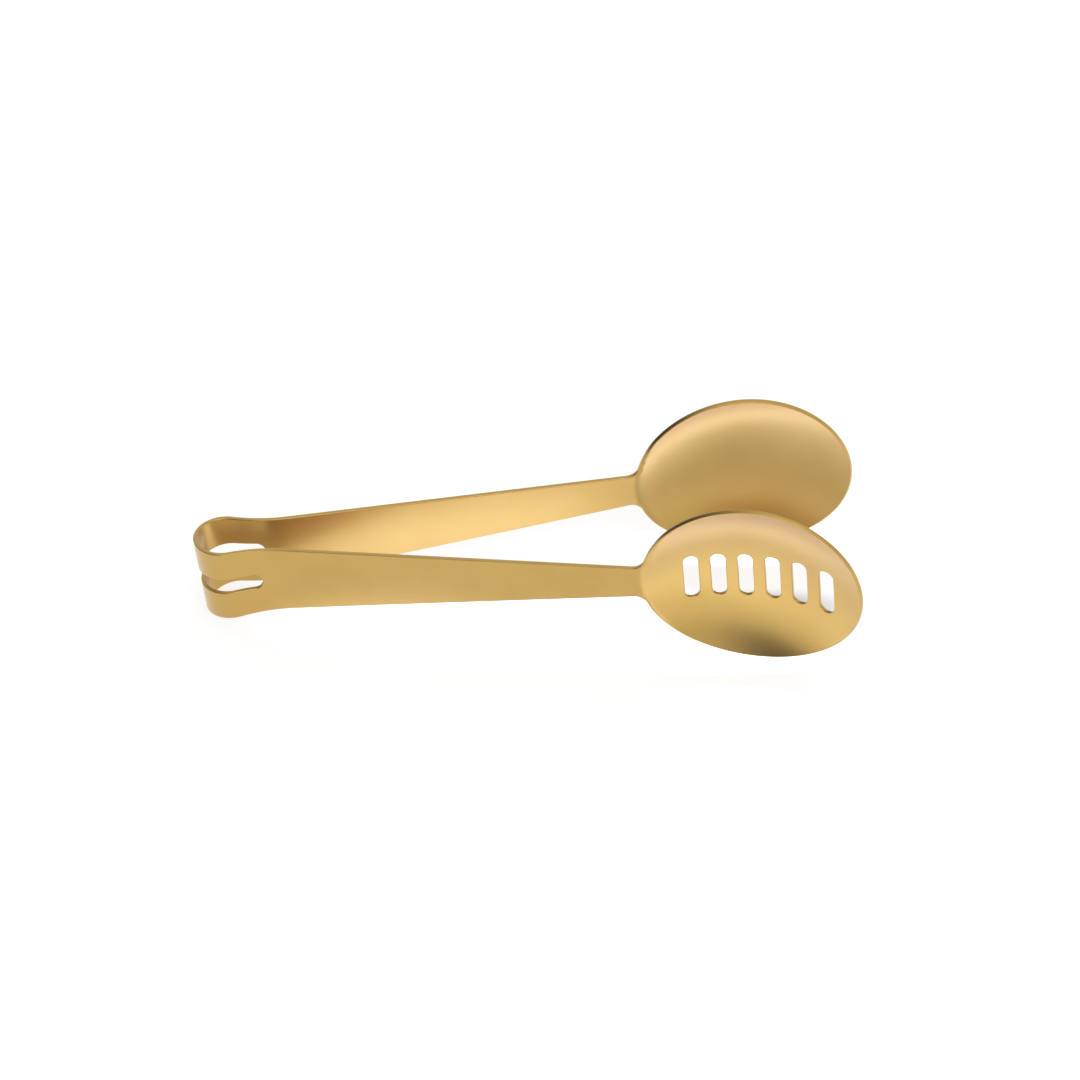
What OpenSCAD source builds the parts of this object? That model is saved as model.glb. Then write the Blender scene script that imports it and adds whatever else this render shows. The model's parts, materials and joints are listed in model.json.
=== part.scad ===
// Spring tongs for squeezing a tea bag: one sheet-metal strip, folded into a springy bow
// at its middle, with two flat tapering arms that end in two alike bowls. Both bowls are hollow
// towards the front, so that the back of the front bowl presses into the rear bowl.
//
// The strip is drawn with the bow's axis on Z and the arms running towards +X, one on each side
// of the plane y = 0. stand() then tips it the few degrees at which it rests on a table.
// The solids meet face to face where the sheet is continuous.

/* [Sheet] */
// Thickness of the sheet
sheet_t = 1; // [0.8:0.1:1.4]
// Width of the strip at the back of the bow
bow_w = 20; // [17:0.5:24]
// Width of each arm where it meets its bowl
neck_w = 8.4; // [7:0.2:11]

/* [Bow] */
// Inside radius of the round bow
bow_r = 6; // [5:0.5:8]
// Angle by which each side turns inwards at the waist before it flares out into an arm
waist_angle = 13; // [8:1:18]
// Radius of the flare from the waist into the straight arm
flare_r = 36; // [26:2:50]
// Width of the slot that splits the bow into two bands
slot_w = 4; // [3:0.2:5]
// Distance along X from the bow's axis to the centre of each rounded slot end
slot_reach = 6; // [5:0.2:9]

/* [Arms] */
// Angle between each arm and the middle plane when the tongs are relaxed
arm_angle = 7.6; // [6.4:0.2:9.6]
// Length of the straight part of each arm, up to the neck
arm_l = 79.2; // [60:0.2:100]

/* [Bowls] */
// Length of the egg-shaped outline of each bowl
bowl_l = 50; // [40:0.5:60]
// Width of each bowl
bowl_w = 43; // [34:1:48]
// Depth of each bowl at its middle
bowl_depth = 8; // [6:0.5:12]
// Angle by which each bowl turns towards its hollow side from the line of its arm
bowl_pitch = 6.8; // [0:0.2:8]
// How far the long sides of the rim curve back from its ends
rim_bow = 2.2; // [0:0.2:3]
// How much fuller the outline is towards the tip than towards the neck
bowl_fullness = 0.03; // [0:0.01:0.12]
// Radius of the fillet where the arm's edge runs into the bowl's outline
neck_fillet = 3; // [2:0.5:6]

/* [Drain slots] */
// Number of drain slots in the front bowl
drain_count = 6; // [3:1:7]
// Width of each drain slot
drain_w = 3.4; // [2:0.2:4]
// Height of each drain slot, over its round ends
drain_h = 11.6; // [6:0.2:16]
// Distance between neighbouring drain slots
drain_pitch = 6.2; // [5:0.2:6.4]
// Distance from the middle of the bowl to the middle of the row, towards the tip
drain_ahead = 1.5; // [-2:0.5:3]
// Height of the row above the middle of the bowl
drain_rise = -1.5; // [-4:0.5:4]

/* [Hidden] */
$fn = 96;
gold = [0.79, 0.64, 0.36];

// A bowl gets shallower as this power of the distance from its middle.
dish_power = 2.2;
// Length over which the cut edge turns from square to the arm to square to the bowl's wall.
edge_turn_l = 8;
// Rings and outline points that a bowl is divided into.
dish_rings = 8;
egg_steps = 20;
fillet_steps = 5;
bisection_steps = 24;
// How far a cutting solid reaches past what it cuts.
past = 2;

// The bow's centre line, its waist and its flare, in plan.
bow_mid_r = bow_r + sheet_t / 2;
bow_outer_r = bow_r + sheet_t;
waist_heading = 90 - waist_angle;
flare_centre = (bow_mid_r + flare_r) * [cos(waist_heading), sin(waist_heading)];
arm_start = flare_centre + flare_r * [sin(arm_angle), -cos(arm_angle)];
neck_x = arm_start.x + arm_l * cos(arm_angle);

// The strip tapers evenly from the back of the bow to the necks.
taper = (bow_w - neck_w) / (neck_x + bow_outer_r);
function strip_width(x) = bow_w - taper * (x + bow_outer_r);

// The egg-shaped outline of a bowl at an angle from its neck end, before it is moved to the neck.
egg_a = bowl_l / 2;
egg_b = bowl_w / 2;
function egg_point(s) = [egg_a * (1 - cos(s)), egg_b * sin(s) * (1 - bowl_fullness * cos(s))];
function egg_heading(s) =
    atan2(egg_b * (cos(s) - bowl_fullness * cos(2 * s)), egg_a * sin(s));

// The fillet leaves the arm's edge at the neck and meets the egg where their headings agree.
function fillet_point(h) = neck_fillet * [sin(h), 1 - cos(h)] + [0, neck_w / 2];
function fillet_gap(s) = egg_point(s).y - fillet_point(egg_heading(s)).y;
function meeting(low, high, steps) =
    let (middle = (low + high) / 2)
    steps == 0 ? middle
    : fillet_gap(middle) > 0 ? meeting(low, middle, steps - 1)
    : meeting(middle, high, steps - 1);
egg_from = meeting(1, 80, bisection_steps);
egg_shift = fillet_point(egg_heading(egg_from)).x - egg_point(egg_from).x;

// The outline of the whole bowl, from the neck's upper corner round the tip to the lower one.
upper_outline = [
    for (i = [0:fillet_steps]) fillet_point(egg_heading(egg_from) * i / fillet_steps),
    for (i = [1:egg_steps])
        [egg_shift, 0] + egg_point(egg_from + (180 - egg_from) * i / egg_steps)
];
last_upper = len(upper_outline) - 1;
outline = [
    each upper_outline,
    for (i = [last_upper - 1:-1:0]) [upper_outline[i].x, -upper_outline[i].y]
];
bowl_middle = egg_shift + egg_a;

// The middle of a bowl's sheet, as a distance behind the arm's middle plane. Here and below, a
// point p has its first coordinate along the arm from the neck and its second one upwards.
function along(p) = (p.x - bowl_middle) / egg_a;
function across(p) = p.y / (egg_b * (1 + bowl_fullness * along(p)));
function rim_share(p) = norm([along(p), across(p)]);
function turned(p) = let (t = min(1, p.x / edge_turn_l)) t * t * (3 - 2 * t);
function sheet_depth(p) =
    bowl_depth * (1 - pow(min(1, rim_share(p)), dish_power))
    + rim_bow * pow(p.y / egg_b, 2) * turned(p) - p.x * tan(bowl_pitch);

// The slope of the sheet at a point away from the middle of the bowl, and the unit vector
// square to it.
function slope(p) =
    let (
        r = rim_share(p),
        fall = -bowl_depth * dish_power * pow(r, dish_power - 2),
        q = 1 + bowl_fullness * along(p)
    )
    [
        fall * (along(p) - bowl_fullness * pow(across(p), 2) / q) / egg_a - tan(bowl_pitch),
        fall * across(p) / (egg_b * q) + 2 * rim_bow * p.y / pow(egg_b, 2)
    ];
function square_to(slope) = [-slope.x, 1, -slope.y] / norm([slope.x, slope.y, 1]);

// A point on the bowl's front face (-1) or back face (1), with its Y behind the arm.
function face_point(p, face) =
    [p.x, sheet_depth(p), p.y] + face * sheet_t / 2 * square_to(turned(p) * slope(p));
bowl_faces = [
    for (face = [-1, 1])
        each [
            for (ring = [dish_rings:-1:1], p = outline)
                let (r = ring / dish_rings)
                face_point([bowl_middle + r * (p.x - bowl_middle), r * p.y], face),
            [bowl_middle, bowl_depth - bowl_middle * tan(bowl_pitch), 0]
                + face * sheet_t / 2 * square_to([-tan(bowl_pitch), 0])
        ]
];

// The same points on the strip, for the front bowl (-1) and the rear bowl (1).
neck_y = arm_start.y + arm_l * sin(arm_angle);
placed_faces = [
    for (side = [-1, 1], p = bowl_faces)
        [
            neck_x + p.x * cos(arm_angle) - side * p.y * sin(arm_angle),
            side * (neck_y + p.x * sin(arm_angle)) + p.y * cos(arm_angle),
            p.z
        ]
];
middle_y = (min([for (p = placed_faces) p.y]) + max([for (p = placed_faces) p.y])) / 2;

// The tongs stand on the back of the bow and on the bowls' rims: the tilt that brings the lowest
// point of the bowls level with the foot of the bow.
foot = [-bow_outer_r, -bow_w / 2];
tilt = atan(-min([for (p = placed_faces) (p.z - foot.y) / (p.x - foot.x)]));
function tipped(p) = [p.x * cos(tilt) - p.y * sin(tilt), p.x * sin(tilt) + p.y * cos(tilt)];
back_x = tipped([-bow_outer_r, bow_w / 2]).x;
tip_x = max([for (p = placed_faces) tipped([p.x, p.z]).x]);

// Tips the strip to its resting tilt and puts the origin under the middle of its box.
module stand() {
    translate([-(back_x + tip_x) / 2, -middle_y, -tipped(foot).y])
        rotate([0, -tilt, 0]) children();
}

// Draws something from the neck of the front arm (-1) or the rear arm (1), with X along the arm.
module at_neck(side) {
    translate([neck_x, side * neck_y, 0]) rotate([0, 0, side * arm_angle]) children();
}

// An arc of sheet seen from above, between two headings from its centre.
module sheet_arc(r, from, to) {
    far = 2 * r;
    middle = (from + to) / 2;
    wedge = [[0, 0], for (a = [from, middle, to]) far * [cos(a), sin(a)]];
    intersection() {
        difference() {
            circle(r + sheet_t / 2);
            circle(r - sheet_t / 2);
        }
        polygon(wedge);
    }
}

// The flare of the rear arm, seen from above.
module flare() {
    translate(flare_centre)
        sheet_arc(flare_r, -90 - waist_angle, -90 + arm_angle);
}

// Keeps only the part of its children that lies within the tapering width of the strip.
module trimmed_to_taper() {
    end_x = neck_x + past;
    back = -bow_outer_r - past;
    intersection() {
        linear_extrude(2 * bow_w, center = true) children();
        rotate([90, 0, 0])
            linear_extrude(4 * (flare_r + arm_l), center = true)
                polygon([
                    [back, -strip_width(back) / 2],
                    [end_x, -strip_width(end_x) / 2],
                    [end_x, strip_width(end_x) / 2],
                    [back, strip_width(back) / 2]
                ]);
    }
}

// One of the bow's two bands, which starts at the given height.
module band(bottom) {
    color(gold)
        intersection() {
            union() {
                trimmed_to_taper() sheet_arc(bow_mid_r, waist_heading, 180);
                mirror([0, 1, 0]) trimmed_to_taper() sheet_arc(bow_mid_r, waist_heading, 180);
                trimmed_to_taper() flare();
                mirror([0, 1, 0]) trimmed_to_taper() flare();
            }
            translate([slot_reach - 2 * bow_w, -bow_w, bottom])
                cube([2 * bow_w, 2 * bow_w, bow_w]);
        }
}

// The flat arm behind the middle plane, with its flare and the slot's rounded end.
module arm() {
    color(gold)
        difference() {
            union() {
                trimmed_to_taper() flare();
                trimmed_to_taper()
                    translate(arm_start) rotate(arm_angle)
                        translate([0, -sheet_t / 2]) square([arm_l, sheet_t]);
            }
            translate([slot_reach - 2 * bow_w, -bow_w, -bow_w])
                cube([2 * bow_w, 3 * bow_w, 2 * bow_w]);
            translate([slot_reach, 0, 0])
                rotate([-90, 0, 0]) cylinder(h = bow_w, d = slot_w);
        }
}

// A bowl: rings of points from its rim to its middle, on the front face and then on the back
// face, each face closed by one point at its middle.
module dish() {
    count = len(outline);
    middle = count * dish_rings;
    layer = middle + 1;
    function next(i) = (i + 1) % count;
    front = [
        for (ring = [0:dish_rings - 2], i = [0:count - 1])
            let (a = ring * count, b = a + count)
            each [[a + i, b + i, a + next(i)], [a + next(i), b + i, b + next(i)]],
        for (i = [0:count - 1])
            [middle - count + i, middle, middle - count + next(i)]
    ];
    back = [for (f = front) [f[0] + layer, f[2] + layer, f[1] + layer]];
    rim = [
        for (i = [0:count - 1])
            each [[i, next(i), i + layer], [next(i), next(i) + layer, i + layer]]
    ];
    polyhedron(bowl_faces, concat(front, back, rim));
}

// A drain slot with round ends, through the bowl's wall.
module drain_slot() {
    straight = drain_h - drain_w;
    rotate([-90, 0, 0])
        linear_extrude(4 * bowl_depth, center = true) {
            square([drain_w, straight], center = true);
            for (side = [-1, 1])
                translate([0, side * straight / 2]) circle(d = drain_w);
        }
}

module upper_spring_band() {
    stand() band(slot_w / 2);
}

module lower_spring_band() {
    stand() band(-slot_w / 2 - bow_w);
}

module front_arm() {
    stand() mirror([0, 1, 0]) arm();
}

module rear_arm() {
    stand() arm();
}

// The bowl in front, pierced so that it drains.
module slotted_bowl() {
    color(gold)
        stand() at_neck(-1)
            difference() {
                dish();
                for (i = [0:drain_count - 1])
                    translate([
                        bowl_middle + drain_ahead + (i - (drain_count - 1) / 2) * drain_pitch,
                        0,
                        drain_rise
                    ])
                        drain_slot();
            }
}

module plain_bowl() {
    color(gold)
        stand() at_neck(1) dish();
}

upper_spring_band();
lower_spring_band();
front_arm();
slotted_bowl();
rear_arm();
plain_bowl();
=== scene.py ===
"""Spring tongs for squeezing a tea bag, folded from one strip of gold-coloured sheet steel.

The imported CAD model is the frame. Each of its nodes is replaced by a finer piece of the same
sheet, with rounded cut edges; the bow's bands are made as halves, one on each side of the bow.
"""

import json
import math

import bpy
import numpy as np
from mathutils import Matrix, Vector
from mathutils.geometry import delaunay_2d_cdt


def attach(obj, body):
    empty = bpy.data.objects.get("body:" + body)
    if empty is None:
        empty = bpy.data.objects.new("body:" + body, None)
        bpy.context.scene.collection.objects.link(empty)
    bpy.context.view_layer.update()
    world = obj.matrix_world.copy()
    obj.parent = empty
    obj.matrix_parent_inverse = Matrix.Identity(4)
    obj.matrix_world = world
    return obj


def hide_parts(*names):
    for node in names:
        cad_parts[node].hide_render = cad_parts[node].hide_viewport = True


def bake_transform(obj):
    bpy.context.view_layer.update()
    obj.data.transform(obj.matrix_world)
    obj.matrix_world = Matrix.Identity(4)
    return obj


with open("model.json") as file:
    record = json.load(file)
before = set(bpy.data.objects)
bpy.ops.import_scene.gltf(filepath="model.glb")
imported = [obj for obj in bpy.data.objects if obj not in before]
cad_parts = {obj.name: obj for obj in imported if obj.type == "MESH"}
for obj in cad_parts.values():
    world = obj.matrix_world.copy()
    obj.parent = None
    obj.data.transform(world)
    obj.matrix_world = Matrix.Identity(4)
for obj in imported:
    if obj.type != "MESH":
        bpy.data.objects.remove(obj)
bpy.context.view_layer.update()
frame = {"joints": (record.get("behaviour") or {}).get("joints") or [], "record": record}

# ---------------------------------------------------------------- sizes
# Metres and radians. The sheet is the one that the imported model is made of.
MM = 0.001
mounts = {m["name"]: m for m in frame["record"]["mounts"]}
hinge = frame["joints"][0]
AXIS = Vector(hinge["axis"]).normalized()
BOW_CENTRE = Vector(hinge["pos_m"])
TILT = math.atan2(-AXIS.x, AXIS.z)
grip = Vector(mounts["rear_grip_face"]["axis"])
ARM_ANGLE = math.asin(-grip.dot(Vector((math.cos(TILT), 0, math.sin(TILT)))))

SHEET_T = 1.0 * MM
BOW_W = mounts["hang_loop"]["dims"]["length_mm"] * MM
BOW_R = mounts["hang_loop"]["dims"]["r_mm"] * MM
NECK_W = 8.4 * MM
WAIST_ANGLE = math.radians(13)
FLARE_R = 36 * MM
SLOT_W = 4 * MM
SLOT_REACH = 6 * MM
ARM_L = 79.2 * MM

BOWL_L = 50 * MM
BOWL_W = 43 * MM
BOWL_DEPTH = 8 * MM
BOWL_PITCH = math.radians(6.8)
RIM_BOW = 2.2 * MM
BOWL_FULLNESS = 0.03
NECK_FILLET = 3 * MM
DISH_POWER = 2.2
EDGE_TURN_L = 8 * MM

DRAIN_COUNT = 6
DRAIN_W = 3.4 * MM
DRAIN_H = 11.6 * MM
DRAIN_PITCH = 6.2 * MM
DRAIN_AHEAD = 1.5 * MM
DRAIN_RISE = -1.5 * MM

# The burr is tumbled off the cut edges, which leaves them with small rounded corners.
EDGE_R = 0.24 * MM
EDGE_STEPS = 4

# How closely the meshes are divided along the cut edges, and between them.
BAND_EDGE_STEP = 0.3 * MM
BAND_GRID = 0.9 * MM
ARM_EDGE_STEP = 0.5 * MM
ARM_GRID = 1.5 * MM
BOWL_EDGE_STEP = 0.45 * MM
BOWL_GRID = 0.8 * MM
EDGE_CLEARANCE = 0.45 * MM
SLOT_END_POINTS = 33
DRAIN_END_POINTS = 21
DRAIN_SIDE_POINTS = 8
FILLET_POINTS = 12
EGG_POINTS = 400

# ---------------------------------------------------------------- the strip's middle surface
MID_R = BOW_R + SHEET_T / 2
WAIST_HEADING = math.pi / 2 - WAIST_ANGLE
FLARE_X = (MID_R + FLARE_R) * math.cos(WAIST_HEADING)
FLARE_Y = (MID_R + FLARE_R) * math.sin(WAIST_HEADING)
ARM_X = FLARE_X + FLARE_R * math.sin(ARM_ANGLE)
ARM_Y = FLARE_Y - FLARE_R * math.cos(ARM_ANGLE)
NECK_X = ARM_X + ARM_L * math.cos(ARM_ANGLE)
NECK_Y = ARM_Y + ARM_L * math.sin(ARM_ANGLE)
BOW_OUTER_R = BOW_R + SHEET_T
TAPER = (BOW_W - NECK_W) / (NECK_X + BOW_OUTER_R)

# Lengths along the strip from the back of the bow to the end of each zone.
BOW_ARC = MID_R * (math.pi - WAIST_HEADING)
FLARE_ARC = FLARE_R * (WAIST_ANGLE + ARM_ANGLE)
STRIP_L = BOW_ARC + FLARE_ARC + ARM_L

# The bowl's outline is an egg with these half axes, a little fuller towards its tip.
EGG_A = BOWL_L / 2
EGG_B = BOWL_W / 2


def plan(s):
    """The rear half's middle line in plan, and its unit normal away from the other arm."""
    s = np.asarray(s, float)
    turn = math.pi - s / MID_R
    back = WAIST_HEADING + (s - BOW_ARC) / FLARE_R
    reach = s - BOW_ARC - FLARE_ARC
    zone = [s < BOW_ARC, s < BOW_ARC + FLARE_ARC]
    x = np.select(
        zone,
        [MID_R * np.cos(turn), FLARE_X - FLARE_R * np.cos(back)],
        ARM_X + reach * math.cos(ARM_ANGLE),
    )
    y = np.select(
        zone,
        [MID_R * np.sin(turn), FLARE_Y - FLARE_R * np.sin(back)],
        ARM_Y + reach * math.sin(ARM_ANGLE),
    )
    nx = np.select(zone, [np.cos(turn), np.cos(back)], -math.sin(ARM_ANGLE))
    ny = np.select(zone, [np.sin(turn), np.sin(back)], math.cos(ARM_ANGLE))
    return x, y, nx, ny


def half_width(s):
    return (BOW_W - TAPER * (plan(s)[0] + BOW_OUTER_R)) / 2


def strip_surface(side):
    """Middle points and outward normals of the strip at (length along it, height)."""

    def surface(p):
        x, y, nx, ny = plan(p[:, 0])
        points = np.stack([x, side * y, p[:, 1]], 1)
        normals = np.stack([nx, side * ny, np.zeros(len(p))], 1)
        return points, normals, normals

    return surface


def egg(s):
    return np.stack(
        [EGG_A * (1 - np.cos(s)), EGG_B * np.sin(s) * (1 - BOWL_FULLNESS * np.cos(s))], -1
    )


def egg_heading(s):
    rise = EGG_B * (np.cos(s) - BOWL_FULLNESS * np.cos(2 * s))
    return np.arctan2(rise, EGG_A * np.sin(s))


def fillet(h):
    return np.stack([NECK_FILLET * np.sin(h), NECK_FILLET * (1 - np.cos(h)) + NECK_W / 2], -1)


def egg_start():
    """The angle at which the egg's outline runs into the fillet at the neck."""
    low, high = math.radians(1), math.radians(80)
    for _ in range(40):
        middle = (low + high) / 2
        if egg(middle)[1] > fillet(egg_heading(middle))[1]:
            high = middle
        else:
            low = middle
    return middle


EGG_FROM = egg_start()
EGG_SHIFT = fillet(egg_heading(EGG_FROM))[0] - egg(EGG_FROM)[0]
BOWL_MIDDLE = EGG_SHIFT + EGG_A
# How softly the dish starts at the neck, and the length over which the sheet turns there.
NECK_BEND = 0.05
KINK_L = 1.2 * MM


def smooth_step(t):
    t = np.clip(t, 0, 1)
    return t**2 * (3 - 2 * t)


def dish_depth(u, v):
    """How far the bowl's sheet lies behind the arm's middle plane at (u, v) from the neck."""
    along = (u - BOWL_MIDDLE) / EGG_A
    across = v / (EGG_B * (1 + BOWL_FULLNESS * along))
    share = 1 - (along**2 + across**2) ** (DISH_POWER / 2)
    eased = (share + np.sqrt(share**2 + NECK_BEND**2)) / 2
    by_neck = 1 - smooth_step((u - NECK_FILLET / 2) / EDGE_TURN_L)
    dome = share + by_neck * (eased - share)
    bow = RIM_BOW * (v / EGG_B) ** 2 * smooth_step(u / EDGE_TURN_L)
    run = np.where(u < KINK_L, u**2 / (2 * KINK_L), u - KINK_L / 2)
    return BOWL_DEPTH * dome + bow - run * math.tan(BOWL_PITCH)


def bowl_surface(side):
    """Middle points and normals of a bowl at (u, v) from the neck of the arm on that side."""
    c, s = math.cos(ARM_ANGLE), math.sin(ARM_ANGLE)

    def placed(local, offset):
        return np.stack(
            [
                offset * NECK_X + local[:, 0] * c - side * local[:, 1] * s,
                side * (offset * NECK_Y + local[:, 0] * s) + local[:, 1] * c,
                local[:, 2],
            ],
            1,
        )

    def surface(p):
        u, v, d = p[:, 0], p[:, 1], 0.01 * MM
        square = smooth_step(u / EDGE_TURN_L)
        u_slope = (dish_depth(u + d, v) - dish_depth(u - d, v)) / (2 * d)
        v_slope = (dish_depth(u, v + d) - dish_depth(u, v - d)) / (2 * d)
        middle = np.stack([u, dish_depth(u, v), v], 1)
        normal = np.stack([-u_slope, np.ones(len(u)), -v_slope], 1)
        across = np.stack([-u_slope * square, np.ones(len(u)), -v_slope * square], 1)
        normal /= np.linalg.norm(normal, axis=1)[:, None]
        across /= np.linalg.norm(across, axis=1)[:, None]
        return placed(middle, 1), placed(normal, 0), placed(across, 0)

    return surface


# ---------------------------------------------------------------- meshes of sheet
# A path is one cut edge: its points (along, up) on the sheet, and the directions into the sheet.


def edge_path(from_s, to_s, sign, step):
    """The strip's upper (1) or lower (-1) edge, from one length along it to another."""
    s = np.linspace(from_s, to_s, max(2, int(abs(to_s - from_s) / step) + 1))
    return np.stack([s, sign * half_width(s)], 1), np.tile([0.0, -sign], (len(s), 1))


def inward_normals(points, closed):
    """Unit normals to the left of a path that goes round the sheet anticlockwise."""
    if closed:
        ahead, behind = np.roll(points, -1, 0), np.roll(points, 1, 0)
    else:
        ahead = np.vstack([points[1:], points[-1:]])
        behind = np.vstack([points[:1], points[:-1]])
    run = ahead - behind
    run /= np.linalg.norm(run, axis=1)[:, None]
    return np.stack([-run[:, 1], run[:, 0]], 1)


def even_steps(points, step):
    """The same path with its points one even step apart."""
    length = np.concatenate([[0], np.cumsum(np.linalg.norm(np.diff(points, axis=0), axis=1))])
    at = np.linspace(0, length[-1], int(length[-1] / step) + 1)
    return np.stack([np.interp(at, length, points[:, k]) for k in (0, 1)], 1)


def inside(points, loop):
    """Which points lie inside a closed loop."""
    x, y = points[:, 0][:, None], points[:, 1][:, None]
    x0, y0 = loop[:, 0], loop[:, 1]
    x1, y1 = np.roll(x0, -1), np.roll(y0, -1)
    crosses = (y0 > y) != (y1 > y)
    rise = np.where(y1 == y0, 1, y1 - y0)
    return (crosses & (x < (x1 - x0) * (y - y0) / rise + x0)).sum(1) % 2 == 1


def edge_rows(surface, points, into):
    """Rows of points and normals round a cut edge, from the sheet's one face to its other."""
    middle, _, across = surface(points)
    step = 0.05 * MM
    tangent = surface(points + step * into)[0] - middle
    tangent -= (tangent * across).sum(1)[:, None] * across
    reach = np.linalg.norm(tangent, axis=1)[:, None]
    tangent /= reach
    rows = []
    for face in (-1, 1):
        turns = np.linspace(90, 0, EDGE_STEPS + 1)
        for turn in np.radians(turns if face < 0 else turns[::-1]):
            normal = face * math.sin(turn) * across - math.cos(turn) * tangent
            centre = middle + EDGE_R * tangent + face * (SHEET_T / 2 - EDGE_R) * across
            rows.append((centre + EDGE_R * normal, normal))
    return rows, points + into * EDGE_R * step / reach


def to_row_frame(points):
    return points @ TO_ROW.T


TO_ROW = np.array(
    [
        [math.cos(TILT), 0, -math.sin(TILT)],
        [0, 1, 0],
        [math.sin(TILT), 0, math.cos(TILT)],
    ]
)


def sheet_piece(name, surface, chains, holes, grid):
    """A closed piece of sheet. chains are the cut edges that follow one another round it, joined
    by straight seams to the next piece; holes are closed cut edges; grid are points between."""
    verts, normals, faces, face_normals = [], [], [], []
    flat, pairs, loops = [], [], []
    front_of, back_of = [], []

    def add(points, directions):
        first = len(verts)
        verts.extend(points)
        normals.extend(directions)
        return list(range(first, first + len(points)))

    outer, ends = [], []
    for points, into in [*chains, *holes]:
        rows, inset = edge_rows(surface, points, into)
        ids = [add(*row) for row in rows]
        closed = len(loops) >= len(chains)
        count = len(points)
        for a, b in zip(ids[:-1], ids[1:]):
            for i in range(count if closed else count - 1):
                faces.append((a[i], a[(i + 1) % count], b[(i + 1) % count], b[i]))
        first = len(flat)
        flat.extend(inset)
        front_of.extend(ids[0])
        back_of.extend(ids[-1])
        loops.append(inset)
        pairs += [(first + i, first + i + 1) for i in range(count - 1)]
        if closed:
            pairs.append((first + count - 1, first))
        else:
            outer.append(inset)
            ends.append((first, first + count - 1, ids))
    for k, (_, last, ids) in enumerate(ends):
        first, _, next_ids = ends[(k + 1) % len(ends)]
        pairs.append((last, first))
        cap = [row[-1] for row in ids] + [row[0] for row in reversed(next_ids)]
        centre = np.mean([verts[i] for i in cap], axis=0)
        behind = np.mean([verts[row[-3]] for row in ids], axis=0)
        behind = (behind + np.mean([verts[row[2]] for row in next_ids], axis=0)) / 2
        faces.append(tuple(cap))
        face_normals.append((len(faces) - 1, centre - behind))

    # Points between the edges, and not too near to them.
    edge_points = np.array(flat)
    keep = inside(grid, np.vstack(outer))
    for hole in loops[len(chains) :]:
        keep &= ~inside(grid, hole)
    grid = grid[keep]
    near = np.array([np.hypot(*(edge_points - g).T).min() for g in grid])
    grid = grid[near > EDGE_CLEARANCE]
    middle, normal, _ = surface(grid)
    half = SHEET_T / 2
    front_of += add(middle - half * normal, -normal)
    back_of += add(middle + half * normal, normal)
    flat = np.vstack([edge_points, grid])

    result = delaunay_2d_cdt([Vector(p) for p in flat / MM], pairs, [], 0, 1e-6)
    source = [ids[0] for ids in result[3]]
    triangles = np.array([[source[i] for i in t] for t in result[2]])
    centres = flat[triangles].mean(1)
    keep = inside(centres, np.vstack(outer))
    for hole in loops[len(chains) :]:
        keep &= ~inside(centres, hole)
    for t in triangles[keep]:
        faces.append(tuple(front_of[i] for i in t))
        faces.append(tuple(back_of[i] for i in t))

    # Every face is wound so that it looks outwards.
    verts, normals = np.array(verts), np.array(normals)
    outward = dict(face_normals)
    wound = []
    for k, f in enumerate(faces):
        corners = verts[list(f)]
        ahead = np.roll(corners, -1, 0)
        direction = np.cross(corners - corners[0], ahead - corners[0]).sum(0)
        target = outward[k] if k in outward else normals[list(f)].sum(0)
        wound.append(f if direction @ target > 0 else f[::-1])
    placed = to_row_frame(verts) + np.array(BOW_CENTRE)
    directions = to_row_frame(normals)
    mesh = bpy.data.meshes.new(name)
    mesh.from_pydata(placed.tolist(), [], wound)
    corner_normals = []
    for polygon in mesh.polygons:
        cap = polygon.index in outward
        polygon.use_smooth = not cap
        for v in polygon.vertices:
            corner_normals.append(tuple(polygon.normal if cap else directions[v]))
    mesh.normals_split_custom_set(corner_normals)
    piece = bpy.data.objects.new(name, mesh)
    bpy.context.scene.collection.objects.link(piece)
    return piece


def grid_points(s_stops, half_height, step):
    """Points on upright rows at the lengths given, with every second row half a step higher."""
    s, v = np.meshgrid(s_stops, np.arange(-half_height, half_height, step), indexing="ij")
    v[1::2] += step / 2
    return np.stack([s.ravel(), v.ravel()], 1)


# The length along the strip at which the slot's straight sides end.
stops = np.linspace(0, STRIP_L, 20000)
SLOT_S = float(np.interp(SLOT_REACH, plan(stops)[0], stops))
# The grid reaches past the strip's edges, and the points outside are dropped.
GRID_HALF_HEIGHT = BOW_W / 2 + MM


def band(name, side, sign):
    """Half of one of the bow's bands, from the back of the bow to the arm."""
    step = BAND_EDGE_STEP
    edge = edge_path(0, SLOT_S, sign, step)
    slot_edge = np.stack([edge[0][::-1, 0], np.full(len(edge[0]), sign * SLOT_W / 2)], 1)
    slot_side = slot_edge, np.tile([0.0, sign], (len(slot_edge), 1))
    grid = grid_points(np.arange(step, SLOT_S - step / 2, step), GRID_HALF_HEIGHT, BAND_GRID)
    return sheet_piece(name, strip_surface(side), [edge, slot_side], [], grid)


def arm(name, side):
    """An arm with its flare and the slot's round end."""
    round_end = np.radians(np.linspace(-90, 90, SLOT_END_POINTS))
    away = np.stack([np.cos(round_end), np.sin(round_end)], 1)
    notch = np.array([SLOT_S, 0]) + SLOT_W / 2 * away
    straight_from = BOW_ARC + FLARE_ARC
    step = ARM_EDGE_STEP
    upper = edge_path(SLOT_S, STRIP_L, 1, step)
    lower = edge_path(STRIP_L, SLOT_S, -1, step)
    flared = np.arange(SLOT_S + 0.8 * step, straight_from, step)
    straight = np.arange(straight_from, STRIP_L - step, ARM_GRID)
    grid = grid_points(np.concatenate([flared, straight]), GRID_HALF_HEIGHT, MM)
    return sheet_piece(name, strip_surface(side), [upper, lower, (notch, away)], [], grid)


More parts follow.
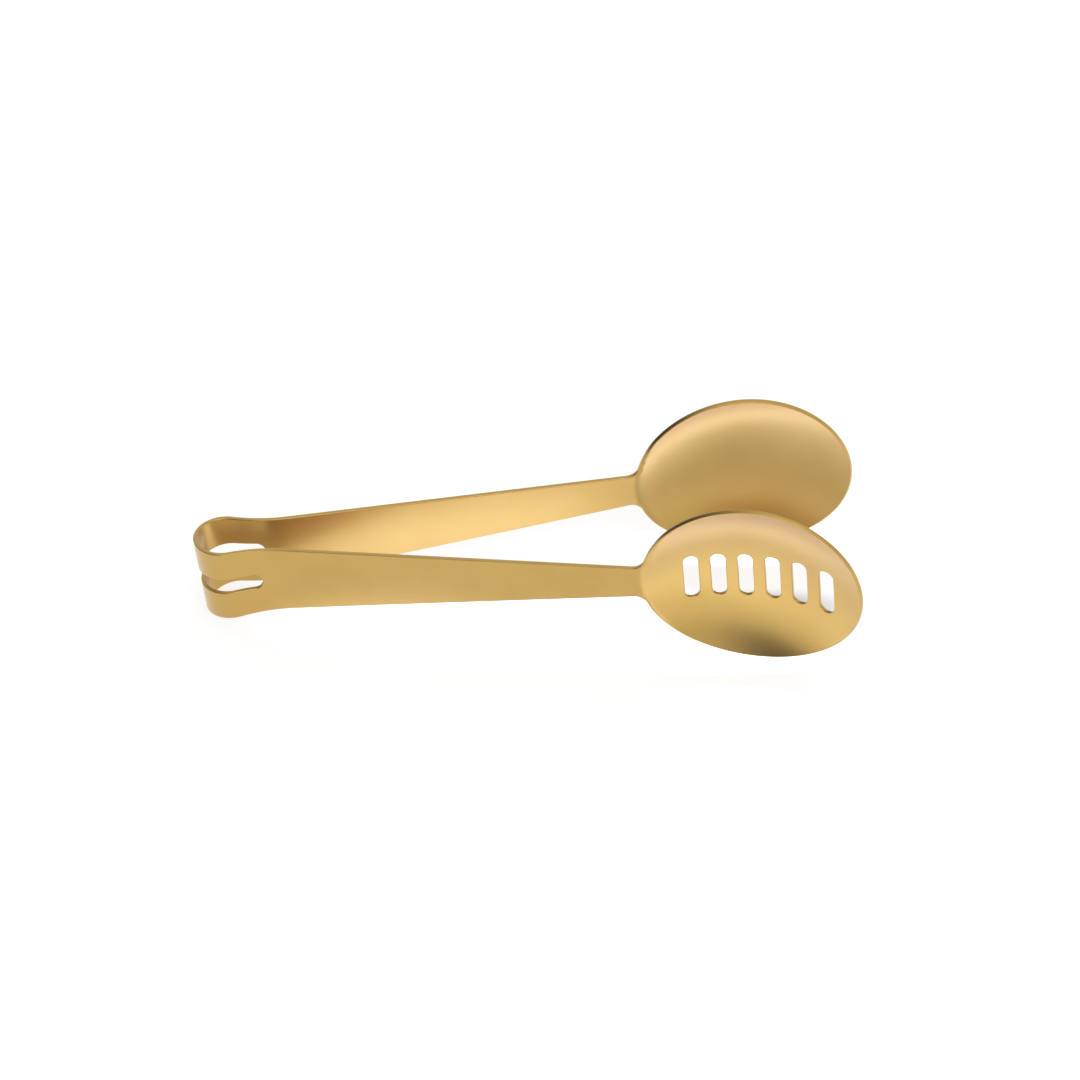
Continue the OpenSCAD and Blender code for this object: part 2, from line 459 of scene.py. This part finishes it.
def drain_slot(middle):
    """The edge of one drain slot with round ends, clockwise."""
    turns = np.radians(np.linspace(0, 180, DRAIN_END_POINTS))
    r, reach = DRAIN_W / 2, (DRAIN_H - DRAIN_W) / 2
    upper = np.stack([r * np.cos(turns), reach + r * np.sin(turns)], 1)
    sides = np.linspace(reach, -reach, DRAIN_SIDE_POINTS + 2)[1:-1]
    left = np.stack([np.full(len(sides), -r), sides], 1)
    loop = np.vstack([upper, left, -upper, -left])[::-1]
    return loop + middle, inward_normals(loop, True)


def bowl(name, side, pierced):
    """A dished bowl, pierced with drain slots or plain."""
    turns = np.linspace(0, egg_heading(EGG_FROM), FILLET_POINTS)
    start = fillet(turns)
    rest = egg(np.linspace(EGG_FROM, math.pi, EGG_POINTS)[1:]) + np.array([EGG_SHIFT, 0])
    upper = even_steps(np.vstack([start, rest]), BOWL_EDGE_STEP)
    outline = np.vstack([upper, upper[-2::-1] * [1, -1]])
    into = -inward_normals(outline, False)
    into[0], into[-1] = (0, -1), (0, 1)
    holes = []
    if pierced:
        for k in range(DRAIN_COUNT):
            u = BOWL_MIDDLE + DRAIN_AHEAD + (k - (DRAIN_COUNT - 1) / 2) * DRAIN_PITCH
            holes.append(drain_slot(np.array([u, DRAIN_RISE])))
    u_stops = np.arange(0.7 * MM, EGG_SHIFT + BOWL_L, BOWL_GRID)
    grid = grid_points(u_stops, EGG_B + 1.5 * MM, BOWL_GRID)
    return sheet_piece(name, bowl_surface(side), [(outline, into)], holes, grid)


# ---------------------------------------------------------------- pieces on their bodies
def ride_in_place_of(piece, body, node):
    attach(piece, body)
    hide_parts(node)
    return piece


def bend_in_place_of(piece, node):
    """Leaves half a band fixed in place at the bow, and hides the node that it replaces."""
    x, y, _, _ = plan(np.array([0, SLOT_S]))
    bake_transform(piece)
    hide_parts(node)
    return piece


# Side is -1 for the front half of the strip and 1 for the rear half.
SIDES = (("front", -1), ("rear", 1))
BOWL_NODES = {"front": "slotted_bowl", "rear": "plain_bowl"}
pieces = []
for level, sign in (("upper", 1), ("lower", -1)):
    for half, side in SIDES:
        piece = band(f"{level}_band_{half}", side, sign)
        pieces.append(bend_in_place_of(piece, f"{level}_spring_band"))
for half, side in SIDES:
    piece = arm(f"{half}_arm_sheet", side)
    pieces.append(ride_in_place_of(piece, f"{half}_arm", f"{half}_arm"))
    piece = bowl(f"{half}_bowl_sheet", side, pierced=half == "front")
    pieces.append(ride_in_place_of(piece, f"{half}_arm", BOWL_NODES[half]))


# ---------------------------------------------------------------- material
def new_material(name):
    material = bpy.data.materials.new(name)
    material.use_nodes = True
    tree = material.node_tree
    return material, tree, tree.nodes["Principled BSDF"]


def noise(tree, scale, detail, stretch=(1, 1, 1)):
    """A noise texture of so many features per metre."""
    place = tree.nodes.new("ShaderNodeTexCoord")
    mapping = tree.nodes.new("ShaderNodeMapping")
    mapping.inputs["Scale"].default_value = stretch
    texture = tree.nodes.new("ShaderNodeTexNoise")
    texture.inputs["Scale"].default_value = scale
    texture.inputs["Detail"].default_value = detail
    tree.links.new(place.outputs["Object"], mapping.inputs["Vector"])
    tree.links.new(mapping.outputs["Vector"], texture.inputs["Vector"])
    return texture.outputs["Fac"]


def spread(tree, value, low, high):
    """Maps a noise value from its usual 0.3 to 0.7 onto low to high."""
    scale = tree.nodes.new("ShaderNodeMapRange")
    scale.inputs["From Min"].default_value = 0.3
    scale.inputs["From Max"].default_value = 0.7
    scale.inputs["To Min"].default_value = low
    scale.inputs["To Max"].default_value = high
    tree.links.new(value, scale.inputs["Value"])
    return scale.outputs["Result"]


GOLD = (0.53, 0.33, 0.075, 1)
PALE_GOLD = (0.56, 0.36, 0.09, 1)
SHEEN = (1, 0.9, 0.78, 1)


def gold_material():
    """Satin sheet steel with a gold coating: fine grain, faint blotches of handling and polish."""
    material, tree, shader = new_material("satin_gold_steel")
    links = tree.links
    shader.inputs["Metallic"].default_value = 1
    shader.inputs["Coat Weight"].default_value = 0.3
    shader.inputs["Coat Roughness"].default_value = 0.4
    shader.inputs["Coat IOR"].default_value = 1.5
    shader.inputs["Sheen Weight"].default_value = 0.6
    shader.inputs["Sheen Roughness"].default_value = 0.5
    shader.inputs["Sheen Tint"].default_value = SHEEN
    blotch = noise(tree, 90, 3)
    grain = noise(tree, 2600, 2, (0.1, 1, 1))
    fine = noise(tree, 2400, 3)

    # A colour mix has its factor at input 0 and its two colours at 6 and 7.
    tint = tree.nodes.new("ShaderNodeMix")
    tint.data_type = "RGBA"
    tint.inputs[6].default_value = GOLD
    tint.inputs[7].default_value = PALE_GOLD
    links.new(spread(tree, blotch, 0, 1), tint.inputs[0])
    links.new(tint.outputs[2], shader.inputs["Base Color"])

    rough = tree.nodes.new("ShaderNodeMath")
    rough.operation = "ADD"
    links.new(spread(tree, blotch, 0, 0.015), rough.inputs[0])
    links.new(spread(tree, fine, 0.278, 0.3), rough.inputs[1])
    links.new(rough.outputs[0], shader.inputs["Roughness"])

    bump = tree.nodes.new("ShaderNodeBump")
    bump.inputs["Strength"].default_value = 0.1
    bump.inputs["Distance"].default_value = 0.02 * MM
    links.new(grain, bump.inputs["Height"])
    links.new(bump.outputs["Normal"], shader.inputs["Normal"])
    return material


gold = gold_material()
for piece in pieces:
    piece.data.materials.append(gold)


# ---------------------------------------------------------------- floor, light and camera
def stage_sheet(name, corners, material):
    mesh = bpy.data.meshes.new(name)
    mesh.from_pydata(corners, [], [tuple(range(len(corners)))])
    sheet = bpy.data.objects.new(name, mesh)
    bpy.context.scene.collection.objects.link(sheet)
    mesh.materials.append(material)


def painted_light_table_material():
    """A white light table with soft oval patches of painted light on it, and one of painted shade,
    which the gold reflects. Each patch is its place, its two radii and the colour of the light it
    adds, negative for the painted shade."""
    material, tree, shader = new_material("white_table_with_painted_light")
    place = tree.nodes.new("ShaderNodeTexCoord")
    total = None
    # Each patch adds painted light to the table's even glow, or painted shade where its colour is
    # negative.
    for x, y, across, deep, light in PAINTED_LIGHT_AND_SHADE:
        patch = tree.nodes.new("ShaderNodeMapping")
        patch.vector_type = "TEXTURE"
        patch.inputs["Location"].default_value = (x * MM, y * MM, 0)
        patch.inputs["Scale"].default_value = (across * MM, deep * MM, 1)
        reach = tree.nodes.new("ShaderNodeVectorMath")
        reach.operation = "LENGTH"
        fall = tree.nodes.new("ShaderNodeMapRange")
        fall.interpolation_type = "SMOOTHSTEP"
        fall.inputs["From Min"].default_value = 0.4
        fall.inputs["From Max"].default_value = 1.4
        fall.inputs["To Min"].default_value = 1
        fall.inputs["To Max"].default_value = 0
        add = tree.nodes.new("ShaderNodeVectorMath")
        add.operation = "MULTIPLY_ADD"
        add.inputs[1].default_value = light
        add.inputs[2].default_value = (TABLE_LEVEL, TABLE_LEVEL, TABLE_LEVEL)
        tree.links.new(place.outputs["Object"], patch.inputs["Vector"])
        tree.links.new(patch.outputs["Vector"], reach.inputs[0])
        tree.links.new(reach.outputs["Value"], fall.inputs["Value"])
        tree.links.new(fall.outputs["Result"], add.inputs[0])
        if total:
            tree.links.new(total, add.inputs[2])
        total = add.outputs["Vector"]
    tree.links.new(total, shader.inputs["Emission Color"])
    shader.inputs["Emission Strength"].default_value = 1
    shader.inputs["Base Color"].default_value = (0.4, 0.4, 0.4, 1)
    shader.inputs["Roughness"].default_value = 0.7
    return material


TABLE_LEVEL = 0.72
# Painted pools of light between the arms, in front of the front bowl and under each bowl, and a
# painted shade between the bowls, in millimetres.
PAINTED_LIGHT_AND_SHADE = (
    (-10, -3, 42, 14, (0.85, 0.95, 1.7)),
    (46, -40, 18, 9, (0.8, 0.9, 1.4)),
    (45, -18, 24, 5, (1.1, 1.3, 2.6)),
    (56, 21, 28, 6, (1.8, 2.2, 3.8)),
    (56, -2, 17, 6, (-0.42, -0.42, -0.42)),
)
TABLE_REACH = 3
corners = [(x * TABLE_REACH, y * TABLE_REACH, 0) for x, y in ((-1, -1), (1, -1), (1, 1), (-1, 1))]
stage_sheet("floor", corners, painted_light_table_material())


def area_light(name, at, size, power):
    """A rectangular light that faces the middle of the table."""
    data = bpy.data.lights.new(name, "AREA")
    data.shape = "RECTANGLE"
    data.size, data.size_y = size
    data.energy = power
    lamp = bpy.data.objects.new(name, data)
    lamp.location = at
    lamp.rotation_mode = "QUATERNION"
    lamp.rotation_quaternion = (-Vector(at)).to_track_quat("-Z", "Y")
    bpy.context.scene.collection.objects.link(lamp)


def studio_world():
    """A bright light tent, open and dim on the camera's left."""
    world = bpy.data.worlds.new("studio")
    world.use_nodes = True
    tree = world.node_tree
    background = tree.nodes["Background"]
    direction = tree.nodes.new("ShaderNodeTexCoord")
    towards = tree.nodes.new("ShaderNodeVectorMath")
    towards.operation = "DOT_PRODUCT"
    towards.inputs[1].default_value = Vector(OPENING).normalized()
    level = tree.nodes.new("ShaderNodeMapRange")
    level.interpolation_type = "SMOOTHSTEP"
    level.inputs["From Min"].default_value = 0.2
    level.inputs["From Max"].default_value = 0.9
    level.inputs["To Min"].default_value = TENT
    level.inputs["To Max"].default_value = OPENING_LEVEL
    tree.links.new(direction.outputs["Generated"], towards.inputs[0])
    tree.links.new(towards.outputs["Value"], level.inputs["Value"])
    tree.links.new(level.outputs["Result"], background.inputs["Strength"])
    background.inputs["Color"].default_value = (1, 1, 1, 1)
    bpy.context.scene.world = world


TENT = 0.8
OPENING = (-0.95, -0.35, 0.1)
OPENING_LEVEL = 0.03
studio_world()
area_light("softbox", at=(0.1, -0.9, 1.05), size=(1.1, 0.5), power=4)

# The camera looks down at the tongs from in front, turned a little to the right.
ELEVATION = math.radians(40.17)
YAW = math.radians(0.72)
DISTANCE = 0.75
LENS = 108.74
AIM_ALONG = 60 * MM
AIM_RIGHT = 11.86 * MM
AIM_UP = 1.5 * MM
aim = Vector(to_row_frame(np.array([AIM_ALONG, 0, 0]))) + BOW_CENTRE
view = Vector((math.sin(YAW), math.cos(YAW), 0)) * math.cos(ELEVATION)
view.z = -math.sin(ELEVATION)
turned = view.to_track_quat("-Z", "Y")
camera_data = bpy.data.cameras.new("camera")
camera_data.sensor_width = 36
camera_data.lens = LENS
camera = bpy.data.objects.new("camera", camera_data)
camera.rotation_mode = "QUATERNION"
camera.rotation_quaternion = turned
right, up = turned @ Vector((1, 0, 0)), turned @ Vector((0, 1, 0))
camera.location = aim + right * AIM_RIGHT + up * AIM_UP - view * DISTANCE
bpy.context.scene.collection.objects.link(camera)
bpy.context.scene.camera = camera

bpy.context.scene.view_settings.view_transform = "Standard"
